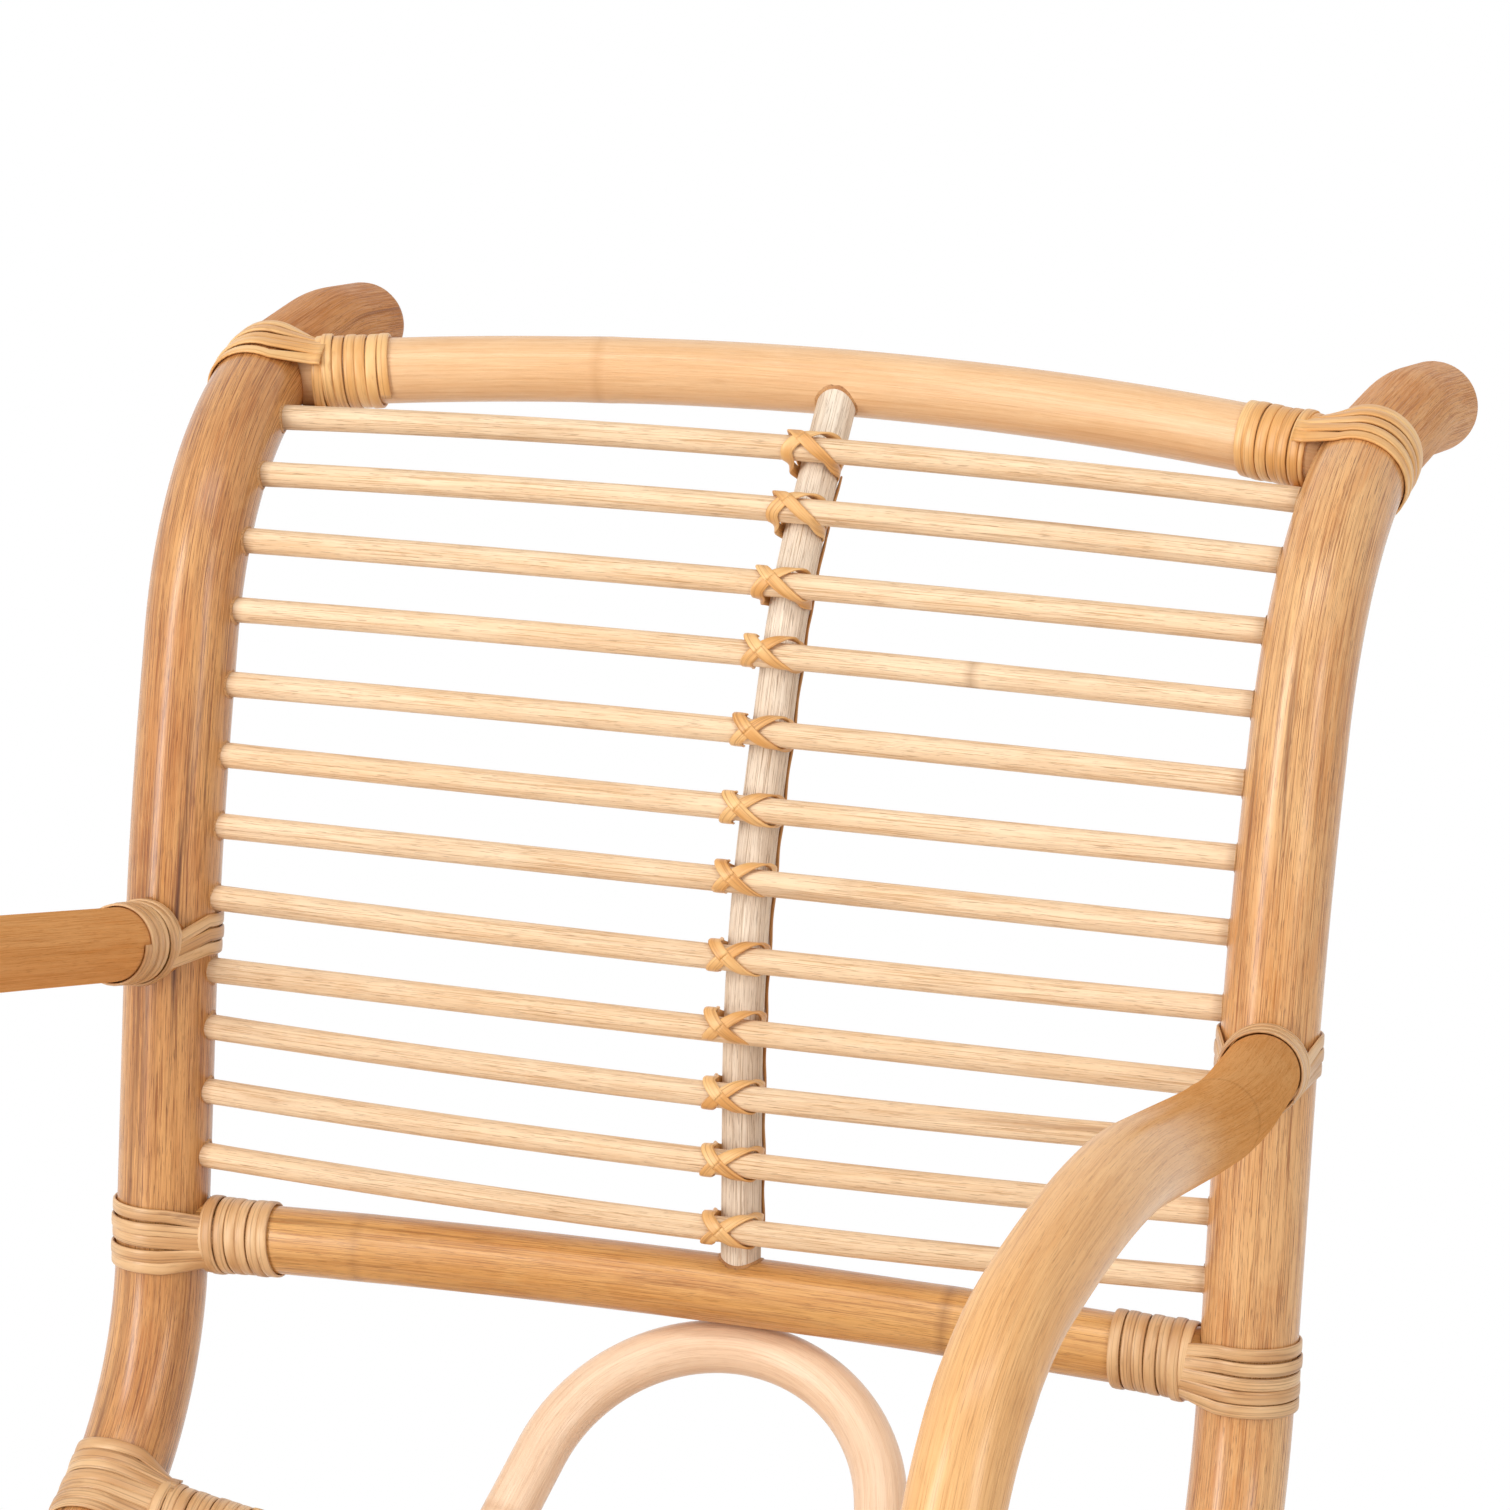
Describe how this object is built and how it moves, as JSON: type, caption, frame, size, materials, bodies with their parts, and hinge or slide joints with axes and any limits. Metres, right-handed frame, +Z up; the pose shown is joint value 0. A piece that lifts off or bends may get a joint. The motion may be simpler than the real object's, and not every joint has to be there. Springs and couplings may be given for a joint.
{
  "type": "rattan rocking armchair",
  "caption": "Rocking armchair of bent rattan canes: rolled-back scroll posts, bowed slats on a central spindle, arms that run on as front legs, an arch under the back, peel-wrapped joints",
  "frame": {"origin": "on the floor, midway along the rockers' length and midway between them", "axes": "+X the chair's left-hand side, -Y its front, +Z up"},
  "size_m": [0.5654, 0.99, 0.8403],
  "materials": {
    "honey_cane": "gloss",
    "peeled_cane": "satin",
    "rail_cane": "gloss",
    "straw_cane": "satin",
    "grey_cane": "matte",
    "golden_peel": "satin",
    "pale_peel": "satin",
    "screw_steel": "brushed"
  },
  "bodies": {
    "root": {"arm_bindings": "pale_peel", "arm_left": "honey_cane", "arm_right": "honey_cane", "back_slat_01": "straw_cane", "back_slat_02": "straw_cane", "back_slat_03": "straw_cane", "back_slat_04": "straw_cane", "back_slat_05": "straw_cane", "back_slat_06": "straw_cane", "back_slat_07": "straw_cane", "back_slat_08": "straw_cane", "back_slat_09": "straw_cane", "back_slat_10": "straw_cane", "back_slat_11": "straw_cane", "back_slat_12": "straw_cane", "front_foot_bindings": "pale_peel", "front_stretcher": "rail_cane", "front_stretcher_bindings": "pale_peel", "hoop": "peeled_cane", "joint_screws": "screw_steel", "lower_rail": "rail_cane", "lower_rail_bindings": "pale_peel", "rear_foot_bindings": "pale_peel", "rear_leg_bindings": "pale_peel", "rear_leg_left": "honey_cane", "rear_leg_right": "honey_cane", "rear_stretcher": "rail_cane", "rear_stretcher_bindings": "pale_peel", "rocker_left": "honey_cane", "rocker_right": "honey_cane", "seat_front_bindings": "pale_peel", "seat_front_rail": "rail_cane", "seat_lashings": "golden_peel", "seat_rear_bindings": "pale_peel", "seat_rear_rail": "rail_cane", "seat_side_bindings": "pale_peel", "seat_slat_01": "straw_cane", "seat_slat_02": "straw_cane", "seat_slat_03": "straw_cane", "seat_slat_04": "straw_cane", "seat_slat_05": "straw_cane", "seat_slat_06": "straw_cane", "seat_slat_07": "straw_cane", "seat_slat_08": "straw_cane", "seat_slat_09": "straw_cane", "seat_slat_10": "straw_cane", "side_pole_left": "honey_cane", "side_pole_right": "honey_cane", "spindle": "grey_cane", "spindle_lashings": "golden_peel", "top_rail": "peeled_cane", "top_rail_bindings": "golden_peel"}
  },
  "joints": []
}
